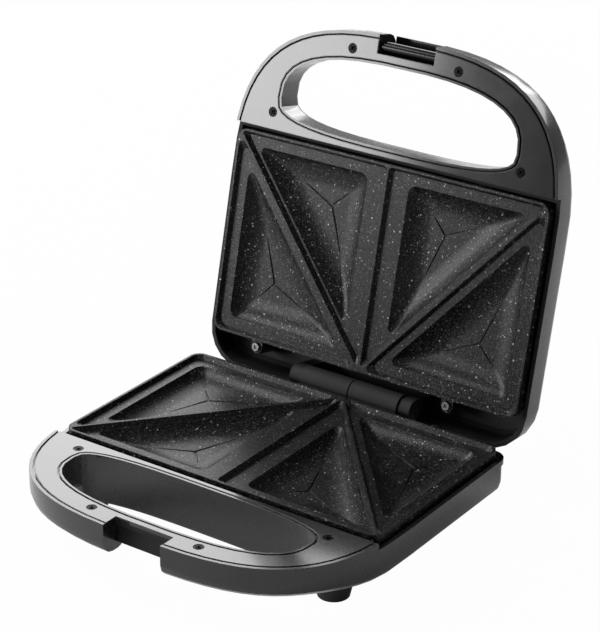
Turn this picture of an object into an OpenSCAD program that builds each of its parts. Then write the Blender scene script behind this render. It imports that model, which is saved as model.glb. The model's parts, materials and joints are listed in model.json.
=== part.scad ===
// Sandwich toaster with two hinged halves, shown with the lid open.
// Every shape is drawn in plate coordinates: x runs across, y = 0 is the hinge-side edge of the
// cooking plates and -y points at the handles, z = 0 is the plane in which the two plates meet.
// The lid is drawn as a mirrored base and then turned about the hinge axis.

/* [Cooking plates] */
// Width of a cooking plate
plate_w = 220; // [180:1:260]
// Depth of a cooking plate, from hinge side to handle side
plate_d = 129; // [110:1:160]
// Corner radius of a plate
plate_corner_r = 7; // [4:0.5:9]
// Thickness of the plate casting
plate_t = 2.5; // [1.8:0.1:3]
// Height of the plate's skirt below the rim
skirt_h = 14; // [13:0.5:16]
// Width of the raised rim
rim_w = 1.5; // [1:0.1:2.5]
// Width of the cutting ridges at their top
ridge_w = 1.3; // [0.8:0.1:2.5]
// Height of rim and ridges above the land
ridge_h = 3; // [2:0.1:4]
// Sideways run of the sloping face of rim and ridges
ridge_run = 1.7; // [0.5:0.1:2.5]
// Depth of a sandwich pocket below the land
pocket_depth = 6.5; // [4:0.5:7]
// Sideways run of a pocket's hollow wall
pocket_run = 13; // [8:0.5:14]
// Distance from the middle line to a handle-side pocket
pocket_mid = 14.5; // [10:0.5:20]
// Distance from the plate's edge to a pocket
pocket_edge = 9.5; // [8:0.5:14]
// Distance from the slanting line to a handle-side pocket
pocket_slant = 4; // [3:0.5:10]
// Distance from the slanting line to a hinge-side pocket
pocket_slant_rear = 7; // [3:0.5:10]
// Radius of a pocket's sharp corners
pocket_r = 3; // [2:0.5:4]
// Width of the three-armed mark in a pocket's floor
mark_w = 1.5; // [0.8:0.1:2.5]
// Depth of that mark
mark_depth = 0.7; // [0.3:0.1:1]
// Length of a mark's arm, as a part of the way to the corner
mark_reach = 0.38; // [0.2:0.02:0.45]

/* [Shells] */
// Wall thickness of the shells
wall = 2.6; // [2:0.1:3]
// Gap between plate and shell at the sides
side_gap = 1.9; // [1.2:0.1:3]
// Distance from the plate's front edge to the front of the handle
handle_reach = 74.3; // [66:0.5:86]
// Depth of the base under the plate
body_h = 27; // [24:0.5:32]
// Depth of the lid over the plate
lid_h = 25; // [23:0.5:30]
// Depth of a shell at the handle
handle_h = 21; // [19:0.5:24]
// Rise of a shell's shallow crown
crown_rise = 6; // [2:0.5:8]
// Radius of the shell's long lower edge
edge_r = 8; // [4:0.5:9]
// How squarely the handle's outline turns, as an exponent
squareness = 2.95; // [2.2:0.05:4]
// Level of the shell's side rims below the plate rim
rim_drop = 5; // [4:0.5:6]
// Level of the handle's face below the plate rim
face_drop = 1; // [0.5:0.1:2]
// Distance from the plate's hinge-side edge to the base's rear lip
base_rear = 3.4; // [3.2:0.1:4]
// How far the base's rear face stands back under that lip
lip_step = 2; // [0.5:0.1:2.5]
// Distance from the plate's hinge-side edge to the lid's rear face
lid_rear = 23; // [22:0.5:26]
// Corner radius of the base at the rear
base_rear_r = 9; // [4:0.5:12]
// Corner radius of the lid at the rear
lid_rear_r = 25; // [12:0.5:28]
// How far the lid's rear face leans inwards over its height
lid_draft = 4; // [0:0.5:5]

/* [Handles] */
// Width of the hand opening
opening_w = 165; // [130:1:175]
// Distance from the plate's front edge to the hand opening
opening_gap = 8.5; // [7.5:0.5:12]
// Depth of the hand opening on its plate side
opening_back = 15; // [10:0.5:18]
// Depth of the hand opening on its front side
opening_front = 33; // [26:0.5:36]
// Thickness of the handle's inset panel
panel_t = 2.2; // [1.6:0.1:3]
// Width of the shell's lip outside the panel
lip_w = 1.8; // [1.4:0.1:2.5]
// Width of the groove between panel and lip
groove_w = 1.0; // [0.6:0.1:1.6]
// Width of the lip round the hand opening
ring_w = 1.5; // [1:0.1:2]
// Radius of the panel screws' heads
screw_head_r = 2.9; // [2.4:0.1:3.4]
// Radius of every small screw's shank
screw_r = 1.4; // [1.1:0.1:1.7]
// Distance of the outer panel screws from the middle
screw_x_out = 87.3; // [80:0.5:92]
// Distance of the outer panel screws from the plate's front edge
screw_y_out = 13.8; // [10:0.2:20]
// Distance of the inner panel screws from the middle
screw_x_in = 36.9; // [30:0.5:44]
// Distance of the inner panel screws from the handle's front
screw_y_in = 11.7; // [11:0.1:13]

/* [Hinge] */
// Distance of the hinge axis behind the plates
hinge_y = 12.2; // [12:0.1:14]
// Level of the hinge axis below the plate rim
hinge_drop = 1.1; // [0.5:0.1:3]
// Outer radius of the base's hinge barrels
barrel_r = 7.6; // [5:0.1:7.8]
// Length of one hinge barrel
barrel_len = 34.5; // [24:0.5:40]
// Width of one hinge ear of the lid
ear_w = 8; // [6:0.5:10]
// Radius of a hinge pin
pin_r = 2; // [1.5:0.1:2.5]
// Radial clearance of a pin that turns in its bore
pin_gap = 0.05; // [0.02:0.01:0.08]
// Angle between the plates when the lid rests on its stop
open_angle = 102.8; // [95:0.1:108]

/* [Latch] */
// Width of the latch notch
notch_w = 39.2; // [30:0.2:44]
// Depth of the latch notch, from the front of the handle
notch_d = 11.5; // [11:0.1:12]
// Gap beside the latch
latch_side_gap = 0.5; // [0.3:0.1:1]
// Distance of the latch pin from the handle's front
latch_pin_y = 7.4; // [7:0.1:7.6]
// Height of the latch pin above the plate rim
latch_pin_z = 6.6; // [6.4:0.1:7]
// Radius of the latch pin
latch_pin_r = 1.5; // [1:0.1:1.8]
// Radius of the latch's round end
latch_eye_r = 3.2; // [2.8:0.1:3.4]
// Thickness of the latch's arm
latch_t = 2.6; // [2:0.1:3]
// Level of the catch's lower edge below the plate rim
catch_drop = 6; // [5:0.1:7]
// How far the latch's nose reaches under the catch
catch_reach = 1.6; // [1:0.1:2]
// Angle that the latch folds back through
latch_fold = 180; // [150:1:180]

/* [Stand] */
// Height of the plate rim above the table
stand_h = 41; // [38:0.5:50]
// Height of a rubber foot
foot_h = 9.5; // [6:0.5:12]
// Radius of a foot where it meets the base
foot_r = 11.3; // [8:0.1:12]
// Radius of a foot on the table
foot_tip_r = 9.2; // [6:0.1:11]
// Distance of the feet from the middle
foot_x = 85.5; // [70:0.5:90]
// Distance of the front feet from the plate's front edge
foot_front = 5; // [0:0.5:6]
// Distance of the rear feet from the plate's hinge-side edge
foot_rear = 16; // [14:0.5:30]

/* [Heating] */
// Radius of the tubular heating element
heater_r = 3.2; // [2.5:0.1:3.3]
// Bend radius of the heating element
heater_bend = 12; // [9:0.5:16]
// Distance of the heating element's ends from the middle
heater_end = 28; // [20:0.5:40]
// Width of the strap that presses the element to the plate
strap_w = 12; // [8:0.5:16]
// Thickness of that strap
strap_t = 1.2; // [0.8:0.1:1.6]
// Thickness of the heat reflector
reflector_t = 0.6; // [0.5:0.1:1]
// Radius of the thermostat
thermostat_r = 8; // [6:0.5:9]
// Radius of the pilot lenses
lens_r = 3.5; // [2.5:0.1:5]
// Radius of the mains lead's inlet
inlet_r = 3.4; // [3:0.1:4]

/* [Hidden] */
$fn = 48;
eps = 0.01;

// Outline of the shells
half_w = plate_w / 2 + side_gap + wall;
front_y = -plate_d - handle_reach;
curve_y = -plate_d + 29;
curve_b = curve_y - front_y;
curve_steps = 15;
rear_steps = 5;
wall_end_y = -plate_d - 0.8;
lip_h = 3.5;
panel_rear_y = -plate_d - 3.2;
step_y = -plate_d - 3.5;
body_line_y = -plate_d + 11;
handle_line_y = front_y + 26;
crown_steps = [[14, 0], [24, 0.42], [34, 0.83], [44, 1]];
deepest = max(body_h, lid_h) + crown_rise;

// Handle
opening_y = -plate_d - opening_gap - opening_back;
opening_edge_r = 5;
opening_draft = 0.4;
panel_inset = lip_w + groove_w;
hole_offset = ring_w + groove_w;
ledge_w = 1.2;
panel_bottom = -face_drop - panel_t;
boss_r = 4;
panel_screws = [[screw_x_out, -plate_d - screw_y_out], [screw_x_in, front_y + screw_y_in]];
countersink_h = 1.6;
screw_len = 9;

// Notch and latch
notch_y = front_y + notch_d;
catch_recess = 2;
latch_recess = 3.3;
strap_h = 18;
cheek_t = 3;
latch_y = front_y + latch_pin_y;
latch_w = notch_w - 2 * latch_side_gap;
arm_y = front_y + 2;
nose_top = -catch_drop - 0.4;
nose_h = 2.4;
nose_y = notch_y + catch_reach;
latch_pin_seat = 2;

// Plate pockets
slant = sqrt(pow(plate_w / 2, 2) + pow(plate_d, 2));
slant_n = [plate_d / slant, -plate_w / 2 / slant];
corner_steps = 4;
right_corner = 1.8;
under_t = plate_t;
skirt_step = 1.6;
under_in = skirt_step + plate_t;
skirt_step_z = -7;
tab_x = [-0.356 * plate_w, 0.278 * plate_w];
tab_y = 5.2;
tab_r = 4.2;
tab_top = -5;
tab_t = 2;
tab_gap = 0.4;
tab_boss_r = 5;
tongue_x = 60;
tongue_w = 12;
tongue_len = 3.4;
tongue_top = -9;
tongue_t = 1.6;
tongue_gap = 0.25;
rib_x = plate_w / 2 - skirt_step - plate_t - 1;

// Hinge
hinge_z = -hinge_drop;
seam_gap = 0.4;
ear_gap = 0.6;
ear_x = barrel_len + seam_gap + ear_gap;
ear_r = 6.5;
pin_engage = 18;
stop_gap = 0.3;

// Inner parts
land_under = -ridge_h - plate_t;
heater_z = land_under - pocket_depth - heater_r;
heater_x = 0.34 * plate_w;
heater_front = -0.73 * plate_d;
heater_rear = -0.27 * plate_d;
strap_y = -plate_d / 2;
strap_top = heater_z - heater_r;
strap_half = heater_x + heater_r + 3;
reflector_top = strap_top - strap_t - 2;
reflector_w = 2 * (heater_x + 11);
lid_top = lid_h + crown_rise;
post_x = heater_x - 15;
post_r = 3.5;
foot_top = -stand_h + foot_h;
foot_places = [[foot_x, -plate_d - foot_front], [foot_x, -foot_rear]];
peg_r = 3;
peg_h = 5;
lens_x = 12;
lens_y = -plate_d * 0.6;
inlet_x = -94;
inlet_z = -19;
inlet_wall = 1.6;
inlet_pad_r = inlet_r + 4.6;

// The folded latch of the open lid reaches farthest back, which sets the middle of the whole object
fold_tip = [2 * latch_y - nose_y + 1, 2 * latch_pin_z - nose_top + nose_h];
rear_reach = hinge_y + cos(open_angle) * (fold_tip[0] - hinge_y) + sin(open_angle) * (fold_tip[1] + hinge_drop);
middle_y = (plan(0, lid_rear, lid_rear_r)[0][1] + rear_reach) / 2;

// ---------- helpers ----------

function flatten(lists) = [for (l = lists) each l];
function mirror_x(points) = [for (i = [len(points) - 1:-1:0]) [-points[i][0], points[i][1]]];
function superquarter(a, b, n, from, to, steps) =
    [for (k = [0:steps]) let (t = from + (to - from) * k / steps)
        [a * pow(cos(t), 2 / n), b * pow(sin(t), 2 / n)]];
function ease(t) = let (u = min(max(t, 0), 1)) u * u * (3 - 2 * u);

// Shell outline, shrunk by an inset; anticlockwise from the middle of the handle's front
function plan(inset, rear, rear_r) =
    let (a = half_w - inset, b = curve_b - inset, r = rear_r - inset,
        front = [for (p = superquarter(a, b, squareness, 86, 0, curve_steps)) [p[0], curve_y - p[1]]],
        corner = [for (k = [0:rear_steps]) let (t = 90 * k / rear_steps)
            [a - r + r * cos(t), rear - inset - r + r * sin(t)]],
        right = concat(front, corner))
    concat(right, mirror_x(right));

// Outline of the hand opening, grown by an offset
function opening(grow) =
    let (a = opening_w / 2 + grow,
        front = [for (p = superquarter(a, opening_front + grow, 2.7, 84, 0, 9)) [p[0], opening_y - p[1]]],
        back = [for (p = superquarter(a, opening_back + grow, 3, 12, 84, 7)) [p[0], opening_y + p[1]]],
        right = concat(front, back))
    concat(right, mirror_x(right));

// Depth of a shell at y: full under the plate, less at the handle
// $deep is the depth of the shell that is being drawn
function depth(y) = $deep + (handle_h - $deep)
    * ease((body_line_y - y) / (body_line_y - handle_line_y));

// Solid through a stack of equal outlines, from the top down; caps are strips across x
module loft(rings) {
    n = len(rings[0]);
    m = len(rings);
    sides = [for (i = [0:m - 2]) for (j = [0:n - 1]) let (k = (j + 1) % n)
        [i * n + j, i * n + k, (i + 1) * n + k, (i + 1) * n + j]];
    top = [for (j = [0:n / 2 - 2]) [n - 1 - j, n - 2 - j, j + 1, j]];
    low = [for (j = [0:n / 2 - 2]) [j, j + 1, n - 2 - j, n - 1 - j]];
    foot = [for (f = low) [for (v = f) v + (m - 1) * n]];
    polyhedron(points = flatten(rings), faces = concat(sides, top, foot));
}

function level(points, z) = [for (p = points) [p[0], p[1], z]];
function below(points, rise) = [for (p = points) [p[0], p[1], rise - depth(p[1])]];

// The outside of a shell, or its inside when inset by the wall; draft leans the rear face inwards
module tub(inset, rear, rear_r, top, draft = 0) {
    r = edge_r - inset;
    loft(concat([level(plan(inset, rear, rear_r), top)],
        [for (a = [0, 30, 60, 90])
            below(plan(inset + r * (1 - cos(a)), rear - draft * (0.6 + a / 225), rear_r), edge_r - r * sin(a))]));
}

// Shallow crown under the middle of a shell
module crown(inset, rear) {
    r0 = 26;
    function box(i) = let (x = half_w - i - inset, f = -plate_d - 2 + i + inset, b = rear - i - inset, r = r0 - i / 3)
        [for (c = [[1, -1, 270], [1, 1, 0], [-1, 1, 90], [-1, -1, 180]]) for (k = [0:4])
            let (t = c[2] + 22.5 * k)
            [c[0] * (x - r) + r * cos(t), (c[1] < 0 ? f + r : b - r) + r * sin(t)]];
    rings = concat([level(box(crown_steps[0][0]), -$deep + 3)],
        [for (s = crown_steps) level(box(s[0]), inset - $deep - crown_rise * s[1])]);
    loft(rings);
}

module hand_hole(grow, deep) {
    r = opening_edge_r;
    loft(concat([level(opening(grow), 5)],
        [for (a = [0, 30, 60, 90]) below(opening(grow + opening_draft + r * (1 - cos(a))), r - r * sin(a))],
        [level(opening(grow + opening_draft + r), -deep)]));
}

function unit(v) = v / norm(v);
function turn(v) = [v[1], -v[0]];
function is_left(t) = cross(t[1] - t[0], t[2] - t[1]) > 0;
function ordered(t) = is_left(t) ? t : [t[0], t[2], t[1]];

// Triangle outline, inset and with rounded corners
function round_tri(t, inset, r) =
    flatten([for (i = [0:2])
        let (v = t[i], p = unit(v - t[(i + 2) % 3]), q = unit(t[(i + 1) % 3] - v),
            a0 = atan2(turn(p)[1], turn(p)[0]), sweep = acos(p * q),
            ri = r * (abs(p * q) < 0.05 ? right_corner : 1),
            inward = unit(q - p), c = v + inward * (inset + ri) / cos(sweep / 2))
        [for (k = [0:corner_steps]) let (a = a0 + sweep * k / corner_steps) c + ri * [cos(a), sin(a)]]]);

// Solid through rounded triangles, each given as inset, level and corner radius, from the top down
module dish(tri, rings) {
    t = ordered(tri);
    n = 3 * (corner_steps + 1);
    m = len(rings);
    points = flatten([for (g = rings) [for (p = round_tri(t, g[0], g[2])) [p[0], p[1], g[1]]]]);
    sides = [for (i = [0:m - 2]) for (j = [0:n - 1]) let (k = (j + 1) % n)
        [i * n + j, i * n + k, (i + 1) * n + k, (i + 1) * n + j]];
    polyhedron(points = points,
        faces = concat(sides, [[for (j = [n - 1:-1:0]) j]], [[for (j = [0:n - 1]) (m - 1) * n + j]]));
}

function slant_x(y, d) = (d - slant_n[1] * y) / slant_n[0];
function slant_y(x, d) = (d - slant_n[0] * x) / slant_n[1];
// Left handle-side triangle between the middle ridge, the front rim and the slanting ridge
function inner_tri(mid, edge, d) = let (x = -mid, y = -plate_d + edge)
    [[slant_x(y, d), y], [x, y], [x, slant_y(x, d)]];
// Left hinge-side triangle between the slanting ridge, the side rim and the rear rim
function outer_tri(edge, d) = let (x = -plate_w / 2 + edge, y = -edge)
    [[x, slant_y(x, -d)], [x, y], [slant_x(y, -d), y]];
function incentre(t) = let (a = norm(t[1] - t[2]), b = norm(t[2] - t[0]), c = norm(t[0] - t[1]))
    (a * t[0] + b * t[1] + c * t[2]) / (a + b + c);

pockets = [inner_tri(pocket_mid, pocket_edge, pocket_slant), outer_tri(pocket_edge, pocket_slant_rear)];
bays = [inner_tri(ridge_w / 2, rim_w, ridge_w / 2), outer_tri(rim_w, ridge_w / 2)];

module both_sides() {
    children();
    mirror([1, 0, 0]) children();
}

module rounded_rect(w, front, rear, r, z0, z1) {
    translate([0, 0, z0]) linear_extrude(z1 - z0) {
        translate([-w / 2 + r, front]) square([w - 2 * r, rear - front]);
        translate([-w / 2, front + r]) square([w, rear - front - 2 * r]);
        for (x = [-1, 1]) for (y = [front + r, rear - r]) translate([x * (w / 2 - r), y]) circle(r);
    }
}

module tube_x(r, x0, x1) {
    translate([x0, 0, 0]) rotate([0, 90, 0]) cylinder(r = r, h = x1 - x0);
}

// ---------- parts that both halves share ----------

module mark(tri) {
    c = incentre(tri);
    translate([0, 0, -ridge_h - pocket_depth - mark_depth]) linear_extrude(3)
        for (v = tri) {
            side = turn(unit(v - c)) * mark_w / 2;
            polygon([c - side, c + side, c + (v - c) * mark_reach + side / 6, c + (v - c) * mark_reach - side / 6]);
        }
}

// Rings of a pocket: hollow walls that level out into a nearly flat floor
function pocket_rings(grow, sink) =
    [for (s = [[-0.05, 0.6], [0, 0], [0.1, -0.30], [0.3, -0.62], [0.6, -0.86], [1, -1]])
        [s[0] * pocket_run - grow, -ridge_h + s[1] * pocket_depth - sink,
            max(pocket_r + grow - s[0] * 2, 0.8)]];

module cooking_plate() {
    difference() {
        union() {
            rounded_rect(plate_w, -plate_d, 0, plate_corner_r, skirt_step_z, 0);
            rounded_rect(plate_w - 2 * skirt_step, -plate_d + skirt_step, -skirt_step,
                plate_corner_r - skirt_step, -skirt_h, skirt_step_z + 1);
            for (x = tab_x) translate([x, 0, tab_top - tab_t]) {
                translate([0, tab_y, 0]) cylinder(r = tab_r, h = tab_t);
                translate([-tab_r, -plate_t, 0]) cube([2 * tab_r, tab_y + plate_t, tab_t]);
            }
            for (x = [-tongue_x, tongue_x])
                translate([x - tongue_w / 2, -plate_d - tongue_len, tongue_top - tongue_t])
                    cube([tongue_w, tongue_len + skirt_step + plate_t / 2, tongue_t]);
        }
        both_sides() for (k = [0, 1]) {
            dish(bays[k], [[0, 1, k == 0 ? 1.5 : 3], [0, 0, k == 0 ? 1.5 : 3],
                [ridge_run, -ridge_h, k == 0 ? 1.5 : 3]]);
            dish(pockets[k], pocket_rings(0, 0));
            mark(pockets[k]);
        }
        difference() {
            rounded_rect(plate_w - 2 * under_in, -plate_d + under_in, -under_in, plate_corner_r - under_in,
                -skirt_h - 1, land_under);
            both_sides() for (k = [0, 1]) dish(pockets[k], pocket_rings(under_t, under_t));
            translate([0, strap_y, strap_top]) cylinder(r = boss_r, h = land_under - strap_top + 1);
        }
        for (x = tab_x) translate([x, tab_y, tab_top - tab_t - 1]) cylinder(r = screw_r, h = tab_t + 2);
        translate([0, strap_y, strap_top - 1]) cylinder(r = screw_r, h = 5 + 1);
    }
}

module cross_recess(r, depth) {
    for (a = [45, 135]) rotate(a) translate([-r * 0.62, -0.4, -depth]) cube([r * 1.24, 0.8, depth + 1]);
}

// Round-head screw pointing down, seated with its head's underside at z = 0
module pan_screw(head_r, head_h, length) {
    difference() {
        union() {
            translate([0, 0, -length]) cylinder(r = screw_r, h = length + head_h / 2);
            cylinder(r1 = head_r, r2 = head_r * 0.82, h = head_h);
        }
        translate([0, 0, head_h]) cross_recess(head_r * 0.8, head_h * 0.6);
    }
}

module plate_screws() {
    for (x = tab_x) translate([x, tab_y, tab_top]) pan_screw(3, 1.7, 8);
}

module panel_screw() {
    difference() {
        union() {
            translate([0, 0, -screw_len]) cylinder(r = screw_r, h = screw_len);
            translate([0, 0, -countersink_h - 0.3]) cylinder(r1 = screw_r, r2 = screw_head_r, h = countersink_h);
        }
        translate([0, 0, -0.3]) cross_recess(screw_head_r, 1);
    }
}

module at_panel_screws() {
    for (p = panel_screws) for (s = [-1, 1]) translate([s * p[0], p[1], 0]) children();
}

module panel_screws_set() {
    at_panel_screws() translate([0, 0, -face_drop]) panel_screw();
}

module panel_outline(inset) {
    difference() {
        polygon(plan(panel_inset + inset, 0, lid_rear_r));
        translate([-half_w, panel_rear_y - inset]) square([2 * half_w, 300]);
        polygon(opening(hole_offset + inset));
        translate([-notch_w / 2 - inset, front_y - 5]) square([notch_w + 2 * inset, notch_d + 5 + inset]);
    }
}

module handle_panel() {
    difference() {
        union() {
            translate([0, 0, panel_bottom]) linear_extrude(panel_t - 0.3) panel_outline(0);
            translate([0, 0, -face_drop - 0.3]) linear_extrude(0.3) panel_outline(0.3);
        }
        at_panel_screws() {
            translate([0, 0, panel_bottom - 1]) cylinder(r = screw_r + 0.2, h = panel_t + 2);
            translate([0, 0, -face_drop - countersink_h - 0.3])
                cylinder(r1 = screw_r + 0.2, r2 = screw_head_r + 0.2, h = countersink_h);
            translate([0, 0, -face_drop - 0.3]) cylinder(r = screw_head_r + 0.2, h = 1);
        }
    }
}

module heater() {
    x = heater_x - heater_bend;
    y0 = heater_rear - heater_bend;
    y1 = heater_front + heater_bend;
    translate([0, 0, heater_z]) {
        both_sides() {
            translate([heater_x, y1, 0]) rotate([-90, 0, 0]) cylinder(r = heater_r, h = y0 - y1);
            translate([x, y0, 0]) rotate_extrude(angle = 90) translate([heater_bend, 0]) circle(heater_r);
            translate([x, y1, 0]) rotate([0, 0, -90]) rotate_extrude(angle = 90)
                translate([heater_bend, 0]) circle(heater_r);
            translate([0, heater_rear, 0]) tube_x(heater_r, heater_end, x);
            translate([0, heater_rear, 0]) tube_x(1.2, heater_end - 7, heater_end);
        }
        translate([0, heater_front, 0]) tube_x(heater_r, -x, x);
    }
}

module heater_strap() {
    difference() {
        union() {
            translate([-strap_half, strap_y - strap_w / 2, strap_top - strap_t]) cube([2 * strap_half, strap_w, strap_t]);
            for (y = [-1, 1]) translate([-strap_half + 10, strap_y + y * (strap_w - 1.2) / 2 - 0.6, strap_top - strap_t - 1])
                cube([2 * strap_half - 20, 1.2, 1 + eps]);
        }
        translate([0, strap_y, strap_top - strap_t - 2]) cylinder(r = screw_r + 0.15, h = strap_t + 3);
    }
}

module strap_screw() {
    translate([0, strap_y, strap_top - strap_t]) mirror([0, 0, 1]) pan_screw(3, 1.5, 5);
}

module reflector() {
    w = reflector_w;
    front = heater_front - 9;
    rear = heater_rear + 9;
    difference() {
        union() {
            rounded_rect(w, front, rear, 6, reflector_top - reflector_t, reflector_top);
            difference() {
                rounded_rect(w, front, rear, 6, reflector_top - eps, reflector_top + 1.3);
                rounded_rect(w - 2 * reflector_t, front + reflector_t, rear - reflector_t, 6 - reflector_t,
                    reflector_top - 1, reflector_top + 2);
            }
        }
        for (x = [-heater_end + 4, heater_end - 4]) translate([x, rear - 16, reflector_top - 2]) cylinder(r = 3, h = 4);
    }
}

// Everything of a shell that both halves have; step sets the rear face back under a lip
module half_shell(rear, rear_r, recess, step, draft) {
    face = rear - step;
    difference() {
        union() {
            tub(0, face, rear_r, -face_drop, draft);
            crown(0, face);
            if (step > 0) intersection() {
                tub(0, rear, rear_r, -face_drop);
                translate([-half_w - 1, -rear_r - 8, -rim_drop - lip_h]) cube([2 * half_w + 2, rear_r + 20, 20]);
            }
        }
        // level of the side rims
        translate([-half_w - 1, step_y, -rim_drop]) cube([2 * half_w + 2, rear - step_y + 1, rim_drop + 1]);
        // plate well
        intersection() {
            union() {
                tub(wall, face, rear_r, 1, draft);
                crown(wall, face);
                if (step > 0) intersection() {
                    tub(wall, rear, rear_r, 1);
                    translate([-half_w, -rear_r - 8, skirt_step_z - 0.5]) cube([2 * half_w, rear_r + 20, 20]);
                }
            }
            translate([-half_w, wall_end_y, -deepest]) cube([2 * half_w, rear - wall_end_y, deepest + 2]);
        }
        // hollow of the handle, with solid cheeks beside the notch and a wall round the hand opening
        difference() {
            intersection() {
                tub(panel_inset + ledge_w, face, rear_r, 1);
                translate([-half_w, front_y, -deepest]) cube([2 * half_w, handle_reach - 3.2, deepest + 2]);
            }
            hand_hole(hole_offset + ledge_w, deepest + 5);
            translate([-notch_w / 2 - cheek_t, front_y, -deepest])
                cube([notch_w + 2 * cheek_t, opening_y - opening_front / 2 - front_y, deepest + 5]);
            at_panel_screws() translate([0, 0, -deepest]) cylinder(r = boss_r, h = deepest + panel_bottom);
        }
        // seat of the inset panel
        translate([0, 0, panel_bottom]) linear_extrude(panel_t + 2) difference() {
            polygon(plan(lip_w, 0, base_rear_r));
            translate([-half_w, panel_rear_y + 0.6]) square([2 * half_w, 300]);
            polygon(opening(ring_w));
        }
        hand_hole(0, deepest + 5);
        // latch notch, with a recess under the catch
        translate([-notch_w / 2, front_y - 5, -deepest]) cube([notch_w, notch_d + 5, deepest + 5]);
        translate([-notch_w / 2, front_y - 5, -deepest]) cube([notch_w, notch_d + 5 + recess, deepest - catch_drop]);
        translate([-notch_w / 2, notch_y - 1, -deepest]) cube([notch_w, notch_d, deepest - strap_h]);
        at_panel_screws() translate([0, 0, -screw_len - 2]) cylinder(r = screw_r, h = screw_len + 3);
        for (x = [-tongue_x, tongue_x])
            translate([x - tongue_w / 2 - tongue_gap, -plate_d - tongue_len - tongue_gap, tongue_top - tongue_t - tongue_gap])
                cube([tongue_w + 2 * tongue_gap, tongue_len + 1, tongue_t + 2 * tongue_gap]);
    }
    // ribs that carry the plate's skirt and posts that carry the reflector
    floor_z = -$deep + wall / 2;
    both_sides() {
        intersection() {
            for (y = [-plate_d * 0.22, -plate_d * 0.78])
                translate([rib_x, y - 1.5, floor_z]) cube([half_w - rib_x, 3, -skirt_h - floor_z]);
            tub(wall / 2, face, rear_r, -face_drop, draft);
        }
        for (y = [heater_rear - 8, heater_front + 12])
            translate([post_x, y, floor_z - crown_rise]) cylinder(r = post_r, h = reflector_top - reflector_t - floor_z + crown_rise);
    }
}

// ---------- base ----------

module base_frame() translate([0, -middle_y, stand_h]) let ($deep = body_h) children();

module base_shell() color([0.07, 0.07, 0.075]) base_frame() {
    difference() {
        union() {
            difference() {
                union() {
                    half_shell(base_rear, base_rear_r, catch_recess, lip_step, 0);
                    for (x = tab_x) translate([x, tab_y, -body_h + edge_r / 2])
                        cylinder(r = tab_boss_r, h = body_h - edge_r / 2 + tab_top - tab_t);
                    // hinge barrels and the webs that carry them
                    both_sides() translate([0, hinge_y, hinge_z]) tube_x(barrel_r, seam_gap, seam_gap + barrel_len);
                    both_sides() translate([seam_gap, base_rear - wall, hinge_z - barrel_r])
                        cube([barrel_len, hinge_y - base_rear + wall, barrel_r - 1]);
                    // round pad behind the lead's inlet
                    translate([inlet_x, base_rear, inlet_z]) rotate([90, 0, 0])
                        cylinder(r = inlet_pad_r, h = wall);
                    for (p = foot_places) for (s = [-1, 1])
                        translate([s * p[0], p[1], foot_top]) cylinder(r = foot_r + 1, h = -foot_top - body_h + 4);
                }
                for (s = [-1, 1]) for (p = foot_places)
                    translate([s * p[0], p[1], foot_top - 1]) cylinder(r = peg_r, h = peg_h + 1);
            }
        }
        for (x = tab_x) {
            translate([x, tab_y, tab_top - 8]) cylinder(r = screw_r, h = 14);
            translate([x - tab_r - tab_gap, -1, tab_top - tab_t]) cube([2 * (tab_r + tab_gap), base_rear + 2, 10]);
        }
        for (s = [-1, 1]) translate([0, hinge_y, hinge_z])
            tube_x(pin_r + pin_gap, s > 0 ? seam_gap + barrel_len - pin_engage - 1 : -seam_gap - barrel_len - 1,
                s > 0 ? seam_gap + barrel_len + 1 : -seam_gap - barrel_len + pin_engage + 1);
        translate([inlet_x, base_rear + 1, inlet_z]) rotate([90, 0, 0])
            cylinder(r = inlet_r + inlet_wall, h = lip_step + wall + 4);
    }
}

module base_handle_panel() color([0.13, 0.13, 0.14]) base_frame() handle_panel();
module base_panel_screws() color([0.1, 0.1, 0.1]) base_frame() panel_screws_set();
module lower_plate() color([0.16, 0.16, 0.165]) base_frame() cooking_plate();
module lower_plate_screws() color([0.2, 0.2, 0.2]) base_frame() plate_screws();
module lower_heater() color([0.45, 0.45, 0.44]) base_frame() heater();
module lower_heater_strap() color([0.6, 0.6, 0.6]) base_frame() heater_strap();
module lower_strap_screw() color([0.6, 0.6, 0.6]) base_frame() strap_screw();
module lower_reflector() color([0.75, 0.76, 0.77]) base_frame() reflector();

module terminal_block() color([0.9, 0.88, 0.82]) base_frame() {
    floor_z = -body_h + wall;
    translate([-60, -24, floor_z]) difference() {
        cube([34, 16, 7.5]);
        for (i = [0:2]) {
            translate([6 + 11 * i, 8, 3]) cylinder(r = 2.2, h = 6);
            translate([6 + 11 * i, -1, 3.4]) rotate([-90, 0, 0]) cylinder(r = 1.5, h = 18);
        }
    }
}

module cord_inlet_bush() color([0.09, 0.09, 0.09]) base_frame()
    translate([inlet_x, base_rear, inlet_z]) rotate([90, 0, 0]) difference() {
        union() {
            translate([0, 0, -1.8]) cylinder(r = inlet_r + 3.4, h = 1.8);
            cylinder(r = inlet_r + inlet_wall, h = wall + lip_step + 1);
        }
        translate([0, 0, -3]) cylinder(r = inlet_r, h = wall + lip_step + 6);
    }

module rubber_feet() color([0.06, 0.06, 0.06]) base_frame()
    for (p = foot_places) for (s = [-1, 1]) translate([s * p[0], p[1], -stand_h]) {
        cylinder(r1 = foot_tip_r, r2 = foot_r, h = foot_h);
        translate([0, 0, foot_h - 1]) cylinder(r = peg_r, h = peg_h + 1);
    }

// ---------- lid ----------

module lid_frame() base_frame() translate([0, hinge_y, hinge_z]) rotate([-open_angle, 0, 0])
    translate([0, -hinge_y, -hinge_z]) let ($deep = lid_h) children();
module mirrored() mirror([0, 0, 1]) children();

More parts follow.
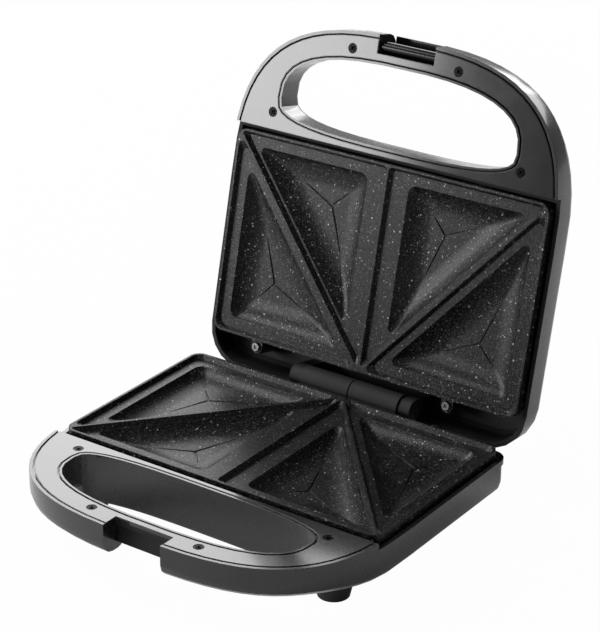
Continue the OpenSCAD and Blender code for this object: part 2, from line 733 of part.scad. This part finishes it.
// Hinge ear in the closed lid's own frame: a round end, the root of its arm and the toe of the stop
module hinge_ear() {
    translate([0, hinge_y, hinge_z]) {
        tube_x(ear_r, ear_x, ear_x + ear_w);
        translate([ear_x, -ear_r, 0]) cube([ear_w, 2 * ear_r, rim_drop + 6]);
        rotate([open_angle, 0, 0]) translate([ear_x, base_rear - hinge_y + stop_gap, -9]) cube([ear_w, 5.5, 6.5]);
    }
}

module lid_shell() color([0.07, 0.07, 0.075]) lid_frame() difference() {
    union() {
        mirrored() half_shell(lid_rear, lid_rear_r, latch_recess, 0, lid_draft);
        both_sides() hinge_ear();
        both_sides() intersection() {
            translate([ear_x, hinge_y - ear_r, rim_drop]) cube([ear_w, 2 * ear_r, lid_h]);
            mirrored() tub(wall / 2, lid_rear, lid_rear_r, -face_drop, lid_draft);
        }
        for (x = tab_x) translate([x, tab_y, -tab_top + tab_t])
            cylinder(r = tab_boss_r, h = lid_h - wall / 2 - tab_t + tab_top);
    }
    translate([0, hinge_y, hinge_z]) tube_x(pin_r, -ear_x - ear_w - 1, ear_x + ear_w + 1);
    for (x = tab_x) translate([x, tab_y, 0]) cylinder(r = screw_r, h = -tab_top + 8);
    for (s = [-1, 1]) translate([s * lens_x, lens_y, lid_h - wall]) cylinder(r = lens_r, h = deepest);
    translate([0, latch_y, latch_pin_z])
        tube_x(latch_pin_r, -notch_w / 2 - latch_pin_seat, notch_w / 2 + latch_pin_seat);
}

module lid_handle_panel() color([0.13, 0.13, 0.14]) lid_frame() mirrored() handle_panel();
module lid_panel_screws() color([0.1, 0.1, 0.1]) lid_frame() mirrored() panel_screws_set();
module upper_plate() color([0.16, 0.16, 0.165]) lid_frame() mirrored() cooking_plate();
module upper_plate_screws() color([0.2, 0.2, 0.2]) lid_frame() mirrored() plate_screws();
module upper_heater() color([0.45, 0.45, 0.44]) lid_frame() mirrored() heater();
module upper_heater_strap() color([0.6, 0.6, 0.6]) lid_frame() mirrored() heater_strap();
module upper_strap_screw() color([0.6, 0.6, 0.6]) lid_frame() mirrored() strap_screw();
module upper_reflector() color([0.75, 0.76, 0.77]) lid_frame() mirrored() reflector();

module thermostat() color([0.85, 0.8, 0.6]) lid_frame() mirrored()
    translate([0, -plate_d * 0.87, land_under]) mirror([0, 0, 1]) {
        cylinder(r = thermostat_r, h = 2.5);
        translate([0, 0, 2.5]) cylinder(r = thermostat_r - 1.5, h = 3.5);
        for (s = [-1, 1]) translate([s * 4 - 1.5, -0.4, 6]) cube([3, 0.8, 2.2]);
    }

module thermal_fuse() color([0.8, 0.8, 0.78]) lid_frame() mirrored()
    translate([0, -plate_d * 0.3, land_under - 2]) rotate([-90, 0, 0]) {
        cylinder(r = 2, h = 11);
        translate([0, 0, -5]) cylinder(r = 0.5, h = 21);
    }

module lens(x) {
    translate([x, lens_y, 0]) {
        translate([0, 0, lid_top - wall - 1.5]) cylinder(r = lens_r, h = wall + 1.5);
        translate([0, 0, lid_top]) intersection() {
            cylinder(r = lens_r + 0.8, h = 3);
            translate([0, 0, -8 + 1.4]) sphere(r = 8);
        }
    }
}
module power_lens() color([0.8, 0.08, 0.05]) lid_frame() lens(-lens_x);
module ready_lens() color([0.1, 0.6, 0.15]) lid_frame() lens(lens_x);
module pilot_lamps() color([0.9, 0.7, 0.5]) lid_frame()
    for (s = [-1, 1]) translate([s * lens_x, lens_y, lid_top - wall - 1.5]) {
        translate([0, 0, -3.2]) cylinder(r = 2.2, h = 3.2);
        translate([0, 0, -4]) cylinder(r = 0.5, h = 1);
    }

module hinge_pins() color([0.7, 0.7, 0.72]) lid_frame() both_sides()
    translate([0, hinge_y, hinge_z]) tube_x(pin_r, seam_gap + barrel_len - pin_engage, ear_x + ear_w);

// ---------- latch ----------

module latch_pin() color([0.7, 0.7, 0.72]) lid_frame() translate([0, latch_y, latch_pin_z])
    tube_x(latch_pin_r, -notch_w / 2 - latch_pin_seat, notch_w / 2 + latch_pin_seat);

// The latch as it holds the closed halves: eye, arm and nose
module latch_body() {
    difference() {
        translate([-latch_w / 2, 0, 0]) rotate([90, 0, 90]) linear_extrude(latch_w) union() {
            translate([latch_y, latch_pin_z]) circle(latch_eye_r);
            polygon([[latch_y, latch_pin_z + latch_eye_r], [latch_y - 2.2, latch_pin_z + 2.2],
                [latch_y - 3.1, latch_pin_z + 0.8], [latch_y - 4.5, latch_pin_z - 1.2],
                [arm_y, latch_pin_z - 3], [arm_y, nose_top - nose_h + 1], [arm_y + 1, nose_top - nose_h],
                [nose_y - 1, nose_top - nose_h], [nose_y, nose_top - 0.8], [nose_y, nose_top],
                [arm_y + latch_t + 0.8, nose_top], [arm_y + latch_t, nose_top + 0.8],
                [arm_y + latch_t, latch_pin_z - latch_eye_r], [latch_y, latch_pin_z - latch_eye_r]]);
        }
        translate([0, latch_y, latch_pin_z]) tube_x(latch_pin_r + pin_gap, -latch_w, latch_w);
    }
}

module latch() color([0.08, 0.08, 0.085]) lid_frame() translate([0, latch_y, latch_pin_z])
    rotate([-latch_fold, 0, 0]) translate([0, -latch_y, -latch_pin_z]) latch_body();

base_shell();
base_handle_panel();
base_panel_screws();
lower_plate();
lower_plate_screws();
lower_heater();
lower_heater_strap();
lower_strap_screw();
lower_reflector();
terminal_block();
cord_inlet_bush();
rubber_feet();
lid_shell();
lid_handle_panel();
lid_panel_screws();
upper_plate();
upper_plate_screws();
upper_heater();
upper_heater_strap();
upper_strap_screw();
upper_reflector();
thermostat();
thermal_fuse();
power_lens();
ready_lens();
pilot_lamps();
hinge_pins();
latch_pin();
latch();
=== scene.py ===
"""An open sandwich toaster in a plain white studio.

Its shells are glossy black plastic, its plates have a speckled non-stick coating.
"""

import json
import math

import bpy
from mathutils import Matrix, Vector


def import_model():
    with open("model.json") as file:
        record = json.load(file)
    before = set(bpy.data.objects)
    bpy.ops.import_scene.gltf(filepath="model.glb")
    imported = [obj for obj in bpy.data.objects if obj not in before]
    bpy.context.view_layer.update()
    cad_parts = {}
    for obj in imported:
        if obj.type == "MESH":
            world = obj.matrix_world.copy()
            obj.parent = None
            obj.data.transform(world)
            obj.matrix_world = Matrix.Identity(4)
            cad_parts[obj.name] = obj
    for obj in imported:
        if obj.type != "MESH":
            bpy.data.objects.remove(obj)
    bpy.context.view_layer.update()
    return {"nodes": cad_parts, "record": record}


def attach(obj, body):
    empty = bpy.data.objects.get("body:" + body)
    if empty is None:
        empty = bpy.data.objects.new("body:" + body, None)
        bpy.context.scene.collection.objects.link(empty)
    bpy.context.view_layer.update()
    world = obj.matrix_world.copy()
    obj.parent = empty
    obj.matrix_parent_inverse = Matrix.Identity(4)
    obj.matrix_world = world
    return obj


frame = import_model()

MM = 0.001

# ---------------------------------------------------------------- nodes of a material


class Shader:
    """A material's node tree, with a method for each kind of node that the finishes use."""

    def __init__(self, name):
        self.material = bpy.data.materials.new(name)
        self.material.use_nodes = True
        self.tree = self.material.node_tree
        self.tree.nodes.clear()
        self.output = self.node("ShaderNodeOutputMaterial")
        self.surface = self.node("ShaderNodeBsdfPrincipled")
        self.link(self.surface, "BSDF", self.output, "Surface")
        self.place = self.node("ShaderNodeTexCoord").outputs["Object"]

    def node(self, kind, **settings):
        made = self.tree.nodes.new(kind)
        for key, value in settings.items():
            setattr(made, key, value)
        return made

    def link(self, source, out, target, into):
        self.tree.links.new(source.outputs[out], target.inputs[into])

    def feed(self, target, into, value):
        """Sets a socket to a number or colour, or joins it to another node's output."""
        if isinstance(value, bpy.types.NodeSocket):
            self.tree.links.new(value, target.inputs[into])
        else:
            target.inputs[into].default_value = value

    def set(self, **values):
        """Shader sockets by name, with underscores for spaces."""
        for key, value in values.items():
            self.feed(self.surface, key.replace("_", " "), value)

    def stretched(self, scale):
        """The object's own coordinates, in metres, scaled by a factor along each axis."""
        mapping = self.node("ShaderNodeMapping")
        self.feed(mapping, "Vector", self.place)
        mapping.inputs["Scale"].default_value = scale
        return mapping.outputs["Vector"]

    def noise(self, size, detail=3.0, rough=0.55, where=None):
        """Cloudy noise whose lumps are about size metres across."""
        made = self.node("ShaderNodeTexNoise")
        self.feed(made, "Vector", where or self.place)
        made.inputs["Scale"].default_value = 1 / size
        made.inputs["Detail"].default_value = detail
        made.inputs["Roughness"].default_value = rough
        return made.outputs["Fac"]

    def ranged(self, value, low, high, to_low, to_high):
        made = self.node("ShaderNodeMapRange")
        self.feed(made, "Value", value)
        limits = {"From Min": low, "From Max": high, "To Min": to_low, "To Max": to_high}
        for socket, number in limits.items():
            made.inputs[socket].default_value = number
        return made.outputs["Result"]

    def math(self, operation, first, second=0.0):
        made = self.node("ShaderNodeMath", operation=operation)
        self.feed(made, 0, first)
        self.feed(made, 1, second)
        return made.outputs["Value"]

    def mix(self, factor, first, second):
        made = self.node("ShaderNodeMix", data_type="RGBA")
        self.feed(made, 0, factor)
        self.feed(made, 6, first)
        self.feed(made, 7, second)
        return made.outputs[2]

    def specks(self, size, radius, share):
        """1 inside round specks, and a random tone for each speck's cell.

        A cell is size metres wide and holds one speck, whose radius is a share of the cell.
        Only that share of the cells shows its speck.
        """
        cells = self.node("ShaderNodeTexVoronoi", feature="F1")
        self.feed(cells, "Vector", self.place)
        cells.inputs["Scale"].default_value = 1 / size
        near = self.ranged(cells.outputs["Distance"], radius * 1.25, radius * 0.75, 0.0, 1.0)
        split = self.node("ShaderNodeSeparateColor")
        self.feed(split, "Color", cells.outputs["Color"])
        chosen = self.math("LESS_THAN", split.outputs[0], share)
        return self.math("MULTIPLY", near, chosen), split.outputs[1]

    def bump(self, height, depth, edge=0.0):
        """A bump of depth metres, over a normal that rounds edges off by edge metres."""
        made = self.node("ShaderNodeBump")
        made.inputs["Strength"].default_value = 1.0
        made.inputs["Distance"].default_value = depth
        self.feed(made, "Height", height)
        if edge:
            rounded = self.node("ShaderNodeBevel", samples=6)
            rounded.inputs["Radius"].default_value = edge
            self.feed(made, "Normal", rounded.outputs["Normal"])
        self.set(Normal=made.outputs["Normal"])


COAT_ROUGH = 0.1
COAT_IOR = 1.6
UNPOLISHED = 0.4  # extra roughness where the mould was left unpolished
MOULD_RIPPLE = 0.000012

# Where the shells' moulds were left unpolished, in metres at rest. The inner faces start
# INNER_DEPTH under a shell's rim, and the rims are planes across UP and LID_INWARD.
UP = (0.0, 0.0, 1.0)
LID_INWARD = (0.0, -0.9751, 0.2215)
BASE_RIM = 0.041
LID_RIM = -0.0600
LID_FRONT = 0.05
INNER_DEPTH = 0.006
FACING = 0.3
HINGE_AXIS = (0.0, 0.07283, 0.0399)
HINGE_REACH = 0.0095
NOTCH_HALF = 0.0196
NOTCH_BACK = -0.1285
LID_NOTCH = 0.2360


def grey(value):
    return (value, value, value, 1.0)


def plastic(name, shade, rough, edge, grain, lacquer=0.0, dull=None):
    """Moulded black plastic: a little uneven in gloss, with the faint ripple of a polished mould.

    dull is a function of the shader that gives 1 where the mould was left unpolished.
    """
    s = Shader(name)
    s.set(Coat_Weight=lacquer, Coat_Roughness=COAT_ROUGH, Coat_IOR=COAT_IOR)
    cloud = s.noise(0.03, 4)
    smear = s.noise(0.006, 5, 0.7)
    s.set(Base_Color=s.mix(cloud, grey(shade * 0.8), grey(shade * 1.25)))
    broad = s.ranged(cloud, 0.3, 0.7, -0.02, 0.02)
    narrow = s.ranged(smear, 0.35, 0.65, -0.012, 0.02)
    worn = s.math("ADD", s.math("ADD", broad, narrow), rough)
    if dull:
        raw = dull(s)
        worn = s.math("ADD", worn, s.math("MULTIPLY", raw, UNPOLISHED))
        s.set(Coat_Weight=s.math("MULTIPLY", s.math("SUBTRACT", 1.0, raw), lacquer))
    s.set(Roughness=worn)
    s.bump(s.noise(grain, 2), MOULD_RIPPLE, edge)
    return s.material


def inside_shells(s):
    """1 on the shells' inner faces, the hinge and the latch notches, where no mould is polished."""
    normal = s.node("ShaderNodeTexCoord").outputs["Normal"]

    def dot(vector, direction):
        made = s.node("ShaderNodeVectorMath", operation="DOT_PRODUCT")
        s.feed(made, 0, vector)
        made.inputs[1].default_value = direction
        return made.outputs["Value"]

    def inner(inward, rim):
        faces = s.math("GREATER_THAN", dot(normal, inward), FACING)
        deep = s.math("LESS_THAN", dot(s.place, inward), rim - INNER_DEPTH)
        return s.math("MULTIPLY", faces, deep)

    split = s.node("ShaderNodeSeparateXYZ")
    s.feed(split, 0, s.place)
    x, y, z = split.outputs
    base = s.math("MULTIPLY", inner(UP, BASE_RIM), s.math("LESS_THAN", z, BASE_RIM))
    lid = s.math("MULTIPLY", inner(LID_INWARD, LID_RIM), s.math("GREATER_THAN", y, LID_FRONT))
    flat = s.node("ShaderNodeCombineXYZ")
    s.feed(flat, 1, y)
    s.feed(flat, 2, z)
    barrel = s.node("ShaderNodeVectorMath", operation="DISTANCE")
    s.link(flat, "Vector", barrel, 0)
    barrel.inputs[1].default_value = HINGE_AXIS
    lid = s.math("MAXIMUM", lid, s.math("LESS_THAN", barrel.outputs["Value"], HINGE_REACH))
    middle = s.math("LESS_THAN", s.math("ABSOLUTE", x), NOTCH_HALF)
    base_end = s.math("LESS_THAN", y, NOTCH_BACK)
    ends = s.math("MAXIMUM", base_end, s.math("GREATER_THAN", z, LID_NOTCH))
    return s.math("MAXIMUM", s.math("MAXIMUM", base, lid), s.math("MULTIPLY", middle, ends))


def nonstick(name):
    """Dark coating on cast aluminium, with fine grey grain and sparse larger white specks."""
    s = Shader(name)
    grain = s.noise(0.0005, 2, 0.6)
    cloud = s.noise(0.02, 3)
    _, tone = s.specks(0.0005, 0.5, 1.0)
    ground = s.mix(s.math("POWER", tone, 6.0), grey(0.001), grey(0.2))
    ground = s.mix(s.ranged(cloud, 0.35, 0.65, 0, 0.45), ground, grey(0.003))
    fine, fine_tone = s.specks(0.0016, 0.2, 0.4)
    wide, wide_tone = s.specks(0.0042, 0.12, 0.5)
    colour = s.mix(fine, ground, s.mix(s.math("POWER", fine_tone, 2.0), grey(0.02), grey(1.0)))
    colour = s.mix(wide, colour, s.mix(wide_tone, grey(0.4), grey(1.0)))
    s.set(Base_Color=colour)
    s.surface.inputs["Specular IOR Level"].default_value = 0.36
    s.set(Roughness=s.ranged(grain, 0.3, 0.7, 0.25, 0.36))
    s.bump(s.math("ADD", grain, s.math("MULTIPLY", wide, 0.6)), 0.00008, 0.0005)
    return s.material


def metal(name, shade, rough, along=(1, 1, 1), tint=(1, 1, 1)):
    """Bare metal with a fine grain, drawn out along one axis where along is small there."""
    s = Shader(name)
    grain = s.noise(0.0006, 3, 0.6, s.stretched(along))
    stain = s.noise(0.008, 4)
    dark = tuple(shade * 0.78 * t for t in tint) + (1.0,)
    light = tuple(shade * t for t in tint) + (1.0,)
    s.set(Base_Color=s.mix(s.ranged(stain, 0.3, 0.7, 0, 1), dark, light), Metallic=1.0)
    s.set(Roughness=s.ranged(grain, 0.3, 0.7, rough * 0.8, rough * 1.25))
    s.bump(grain, 0.000008, 0.0002)
    return s.material


def rubber(name):
    s = Shader(name)
    grain = s.noise(0.0004, 3, 0.6)
    dust = s.noise(0.004, 4)
    s.set(Base_Color=s.mix(dust, grey(0.012), grey(0.028)))
    s.set(Roughness=s.ranged(grain, 0.3, 0.7, 0.42, 0.58))
    s.bump(grain, 0.00002, 0.0004)
    return s.material


def tinted(name, colour, clear):
    """Clear tinted plastic or glass, with a faint unevenness in its tint and surface."""
    s = Shader(name)
    cloud = s.noise(0.002, 3)
    darker = tuple(c * 0.75 for c in colour) + (1.0,)
    s.set(Base_Color=s.mix(cloud, darker, tuple(colour) + (1.0,)))
    s.set(Roughness=s.ranged(cloud, 0.3, 0.7, 0.06, 0.14), IOR=1.49)
    s.surface.inputs["Transmission Weight"].default_value = clear
    s.bump(s.noise(0.0012, 2), 0.00001)
    return s.material


def ceramic(name):
    s = Shader(name)
    cloud = s.noise(0.003, 4)
    s.set(Base_Color=s.mix(cloud, (0.62, 0.57, 0.44, 1), (0.8, 0.75, 0.62, 1)))
    s.set(Roughness=s.ranged(cloud, 0.3, 0.7, 0.45, 0.6))
    s.bump(s.noise(0.0005, 3), 0.00002, 0.0003)
    return s.material


FINISHES = {
    "black_gloss": plastic("shell_plastic", 0.010, 0.27, 0.0004, 0.0016, 1.0, inside_shells),
    "handle_panel": plastic("panel_plastic", 0.016, 0.17, 0.0003, 0.0022, 1.0),
    "black_satin": plastic("latch_plastic", 0.009, 0.16, 0.0004, 0.0016),
    "black_screw": metal("blackened_steel", 0.014, 0.26),
    "nonstick": nonstick("nonstick_coating"),
    "steel": metal("zinc_plate", 0.34, 0.34),
    "heater_tube": metal("heater_sheath", 0.36, 0.42, tint=(1, 0.94, 0.86)),
    "reflector": metal("reflector_sheet", 0.78, 0.2, (0.04, 1, 1)),
    "cream_plastic": ceramic("terminal_plastic"),
    "rubber": rubber("foot_rubber"),
    "red_lens": tinted("red_lens_plastic", (0.75, 0.03, 0.02), 0.6),
    "green_lens": tinted("green_lens_plastic", (0.04, 0.6, 0.12), 0.6),
    "lamp_glass": tinted("lamp_glass", (0.95, 0.85, 0.75), 0.9),
}


# ---------------------------------------------------------------- smooth shading

SHARP_ANGLE = math.radians(24)
WELD = 0.004 * MM


def smoother():
    """Geometry nodes that join the split corners and shade smooth across all but sharp edges."""
    tree = bpy.data.node_groups.new("smooth_shading", "GeometryNodeTree")
    tree.interface.new_socket("Geometry", in_out="INPUT", socket_type="NodeSocketGeometry")
    tree.interface.new_socket("Geometry", in_out="OUTPUT", socket_type="NodeSocketGeometry")
    make = tree.nodes.new
    start, end = make("NodeGroupInput"), make("NodeGroupOutput")
    weld = make("GeometryNodeMergeByDistance")
    weld.inputs["Distance"].default_value = WELD
    normals = make("GeometryNodeSetMeshNormal")
    normals.mode = "SHARPNESS"
    angle = make("GeometryNodeInputMeshEdgeAngle")
    sharp = make("FunctionNodeCompare")
    sharp.data_type, sharp.operation = "FLOAT", "GREATER_THAN"
    sharp.inputs[1].default_value = SHARP_ANGLE
    tree.links.new(start.outputs[0], weld.inputs["Geometry"])
    tree.links.new(weld.outputs["Geometry"], normals.inputs["Mesh"])
    tree.links.new(angle.outputs["Unsigned Angle"], sharp.inputs[0])
    tree.links.new(sharp.outputs["Result"], normals.inputs["Edge Sharpness"])
    normals.inputs["Face Sharpness"].default_value = False
    tree.links.new(normals.outputs["Mesh"], end.inputs[0])
    return tree


smooth_tree = smoother()


def shade_smooth(piece):
    smooth = piece.modifiers.new("smooth", "NODES")
    smooth.node_group = smooth_tree
    weighted = piece.modifiers.new("weighted", "WEIGHTED_NORMAL")
    weighted.keep_sharp = True


slots = {part["node"]: part["material_slot"] for part in frame["record"]["subparts"]}
for name, piece in frame["nodes"].items():
    for material_slot in piece.material_slots:
        material_slot.material = FINISHES[slots[name]]
    shade_smooth(piece)


# ---------------------------------------------------------------- the base under the hand opening

# In the photograph the base is as deep at the hand opening's plate side as under the plates.
# The base shell is 6 to 7.5 mm shallower there, so a piece is added. Lengths here are in mm from
# the middle of the lower plate's rear edge: y is negative towards the handle, z downwards.
PLATE_FRAME = Vector((0, 60.63, 41))  # that place in the part's own frame

# the opening's outline on the plate side, a superellipse, and its drafted wall
OPENING = {"y": -152.5, "half": 82.5, "back": 15.0, "power": 3.0}
WALL_TOP, WALL_DRAFT, WALL_DEPTH = 5.0, 0.4, 25.5

# a skin over that wall, and under it a block whose sides lean in and whose front is rounded
PROUD = 0.1
HIDDEN = -0.05
SKIN = {"top": -5.0, "proud_from": -8.0, "thick": 1.0}
BELLY = {
    "half": 81.5, "slope": 8.0, "rear": -85.0, "round": 2.5,
    "top": -24.6, "shell": -27.0, "low": -32.95,
}
ALONG = 48
STEPS = 8


def ease(t):
    t = min(max(t, 0.0), 1.0)
    return t * t * (3 - 2 * t)


def opening_back(x, grow):
    """The plate side of the hand opening's outline at x, grown by an offset."""
    half, back = OPENING["half"] + grow, OPENING["back"] + grow
    return OPENING["y"] + back * (1 - abs(x / half) ** OPENING["power"]) ** (1 / OPENING["power"])


def wall_grow(z):
    """The offset of the opening's drafted wall at a height."""
    return WALL_DRAFT * (WALL_TOP - z) / WALL_DEPTH


def ring(half, z, front, rear):
    """Points at one height: along the front from the left, then back along the rear."""
    xs = [half * math.sin(math.pi * (k / ALONG - 0.5)) for k in range(ALONG + 1)]
    return [(x, front(x), z) for x in xs] + [(x, rear(x), z) for x in reversed(xs)]


def stacked(rings):
    """Faces of the closed solid through a stack of equal rings, from the top down."""
    n, last = len(rings[0]), len(rings) - 1

    def at(level, k):
        return level * n + k % n

    faces = []
    for i in range(last):
        for k in range(n):
            faces.append((at(i, k), at(i + 1, k), at(i + 1, k + 1), at(i, k + 1)))
    for k in range(n // 2 - 1):
        faces.append((at(0, k), at(0, k + 1), at(0, n - 2 - k), at(0, n - 1 - k)))
        faces.append((at(last, k + 1), at(last, k), at(last, n - 1 - k), at(last, n - 2 - k)))
    return faces


def base_belly():
    """The deep plate side of the hand opening: the skin and the block, as one solid."""
    rings = []
    for z, proud in ((SKIN["top"], HIDDEN), (SKIN["proud_from"], PROUD), (BELLY["top"], PROUD)):
        g = wall_grow(z) - proud
        rings.append(ring(
            BELLY["half"], z,
            lambda x: opening_back(x, g),
            lambda x: opening_back(x, g + SKIN["thick"])))
    drop = BELLY["shell"] - BELLY["low"]
    depths = [(BELLY["top"], 0)]
    depths += [(BELLY["shell"] - drop * ease(k / STEPS), k / STEPS) for k in range(STEPS + 1)]
    for z, share in depths:
        below = min(max(BELLY["low"] + BELLY["round"] - z, 0.0) / BELLY["round"], 1.0)
        g = wall_grow(z) - PROUD + BELLY["round"] * (1 - math.sqrt(1 - below * below))
        rings.append(ring(
            BELLY["half"] - BELLY["slope"] * share, z,
            lambda x: opening_back(x, g),
            lambda x: BELLY["rear"]))
    points, faces = [p for r in rings for p in r], stacked(rings)
    mesh = bpy.data.meshes.new("base_belly")
    mesh.from_pydata([(Vector(p) + PLATE_FRAME) * MM for p in points], [], faces)
    made = bpy.data.objects.new("base_belly", mesh)
    bpy.context.scene.collection.objects.link(made)
    mesh.materials.append(FINISHES["black_gloss"])
    shade_smooth(made)
    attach(made, "base")


base_belly()

# ---------------------------------------------------------------- studio

FLOOR_SIDE = 12.0
FLOOR_PAINT = 0.8
FLOOR_WHITE, FLOOR_MIRRORED = 0.98, 0.11
WORLD_WHITE, WORLD_MIRRORED = 1.0, 0.12
AMBIENT = 0.06
CAMERA_AZIMUTH = 34.793
CAMERA_ELEVATION = 24.510
CAMERA_ROLL = 0.576
CAMERA_PLACE = Vector((0.69884, -0.99105, 0.67020))
FRAME_WIDTH, FRAME_HEIGHT = 600, 632
FOCAL_PIXELS = 2339.4
SENSOR = 36.0


def turned(azimuth, elevation):
    """The unit vector at that elevation and azimuth: 0 is the front, 90 the right."""
    a, e = math.radians(azimuth), math.radians(elevation)
    return Vector((math.sin(a) * math.cos(e), -math.cos(a) * math.cos(e), math.sin(e)))


def facing(back, roll=0.0):
    """A rotation whose -Z looks along -back, turned by roll degrees about it."""
    turn = Matrix.Rotation(math.radians(roll), 4, "Z")
    return back.to_track_quat("Z", "Y").to_matrix().to_4x4() @ turn


def camera():
    data = bpy.data.cameras.new("camera")
    data.sensor_width = SENSOR
    data.sensor_fit = "AUTO"
    data.lens = FOCAL_PIXELS * SENSOR / max(FRAME_WIDTH, FRAME_HEIGHT)
    data.clip_start = 0.05
    data.clip_end = 50
    made = bpy.data.objects.new("camera", data)
    bpy.context.scene.collection.objects.link(made)
    turn = facing(turned(CAMERA_AZIMUTH, CAMERA_ELEVATION), CAMERA_ROLL)
    made.matrix_world = Matrix.Translation(CAMERA_PLACE) @ turn
    bpy.context.scene.camera = made


def soft_box(name, azimuth, elevation, distance, width, height, radiance, aim, fade=0.12):
    """A rectangular lamp seen from aim in that direction, which fades towards its edges."""
    data = bpy.data.lights.new(name, "AREA")
    data.shape = "RECTANGLE"
    data.size, data.size_y = width, height
    data.energy = radiance * math.pi * width * height
    data.use_nodes = True
    tree = data.node_tree
    emission = next(n for n in tree.nodes if n.type == "EMISSION")
    spot = tree.nodes.new("ShaderNodeNewGeometry")
    split = tree.nodes.new("ShaderNodeSeparateXYZ")
    tree.links.new(spot.outputs["Parametric"], split.inputs[0])
    ramps = []
    for axis in range(2):
        middle = tree.nodes.new("ShaderNodeMath")
        middle.operation = "PINGPONG"
        tree.links.new(split.outputs[axis], middle.inputs[0])
        middle.inputs[1].default_value = 0.5
        ramp = tree.nodes.new("ShaderNodeMapRange")
        ramp.interpolation_type = "SMOOTHSTEP"
        tree.links.new(middle.outputs[0], ramp.inputs["Value"])
        ramp.inputs["From Min"].default_value = 0.0
        ramp.inputs["From Max"].default_value = fade
        ramps.append(ramp)
    both = tree.nodes.new("ShaderNodeMath")
    both.operation = "MULTIPLY"
    for k, ramp in enumerate(ramps):
        tree.links.new(ramp.outputs["Result"], both.inputs[k])
    tree.links.new(both.outputs[0], emission.inputs["Strength"])
    made = bpy.data.objects.new(name, data)
    bpy.context.scene.collection.objects.link(made)
    back = turned(azimuth, elevation)
    made.matrix_world = Matrix.Translation(Vector(aim) + back * distance) @ facing(back)
    made.visible_camera = False
    return made


def white_share(tree, camera_share, mirror_share):
    """The share of plain white that a ray sees: the camera's own rays, or those in gloss."""
    path = tree.nodes.new("ShaderNodeLightPath")
    mirrored = tree.nodes.new("ShaderNodeMath")
    mirrored.operation = "MAXIMUM"
    tree.links.new(path.outputs["Is Glossy Ray"], mirrored.inputs[0])
    tree.links.new(path.outputs["Is Transmission Ray"], mirrored.inputs[1])
    weighed = tree.nodes.new("ShaderNodeMath")
    weighed.operation = "MULTIPLY"
    tree.links.new(mirrored.outputs[0], weighed.inputs[0])
    weighed.inputs[1].default_value = mirror_share
    total = tree.nodes.new("ShaderNodeMath")
    total.operation = "MULTIPLY_ADD"
    tree.links.new(path.outputs["Is Camera Ray"], total.inputs[0])
    total.inputs[1].default_value = camera_share
    tree.links.new(weighed.outputs[0], total.inputs[2])
    return total.outputs[0]


def floor():
    """A pale floor that the camera sees as white, with the object's shadow on it."""
    mesh = bpy.data.meshes.new("floor")
    h = FLOOR_SIDE / 2
    mesh.from_pydata([(-h, -h, 0), (h, -h, 0), (h, h, 0), (-h, h, 0)], [], [(0, 1, 2, 3)])
    made = bpy.data.objects.new("floor", mesh)
    bpy.context.scene.collection.objects.link(made)
    s = Shader("floor")
    s.tree.links.clear()
    s.set(Base_Color=grey(FLOOR_PAINT), Roughness=0.9)
    s.surface.inputs["Specular IOR Level"].default_value = 0.0
    white = s.node("ShaderNodeEmission")
    blend = s.node("ShaderNodeMixShader")
    s.feed(blend, 0, white_share(s.tree, FLOOR_WHITE, FLOOR_MIRRORED))
    s.link(s.surface, "BSDF", blend, 1)
    s.link(white, "Emission", blend, 2)
    s.link(blend, "Shader", s.output, "Surface")
    mesh.materials.append(s.material)


def world(ambient):
    """White behind the object and in its gloss, and a low even light on everything."""
    made = bpy.data.worlds.new("world")
    bpy.context.scene.world = made
    made.use_nodes = True
    tree = made.node_tree
    background = next(n for n in tree.nodes if n.type == "BACKGROUND")
    background.inputs["Color"].default_value = grey(1.0)
    share = tree.nodes.new("ShaderNodeMapRange")
    share.inputs["To Min"].default_value = ambient
    share.inputs["To Max"].default_value = 1.0
    tree.links.new(white_share(tree, WORLD_WHITE, WORLD_MIRRORED), share.inputs["Value"])
    tree.links.new(share.outputs["Result"], background.inputs["Strength"])


camera()
floor()
world(AMBIENT)
HANDLE = (0.0, 0.1, 0.19)
MIDDLE = (0, 0, 0.05)
# front left, for the lid's handle: its right edge stands at azimuth -29 seen from there
soft_box("front_left_box", azimuth=-46, elevation=6, distance=1.6, width=0.98, height=0.56,
         radiance=6.0, aim=HANDLE, fade=0.07)
# behind and left, for the upward faces
soft_box("back_left_box", azimuth=-150, elevation=27, distance=1.9, width=2.1, height=1.0,
         radiance=3.0, aim=MIDDLE)
# behind, for the rim of the lid's handle
soft_box("back_box", azimuth=173, elevation=22, distance=1.9, width=0.9, height=0.7,
         radiance=2.2, aim=HANDLE, fade=0.06)
# high on the left, for the floor and the pockets
soft_box("left_box", azimuth=-80, elevation=42, distance=1.7, width=1.2, height=1.2,
         radiance=4.6, aim=MIDDLE)

view = bpy.context.scene.view_settings
view.view_transform = "Standard"
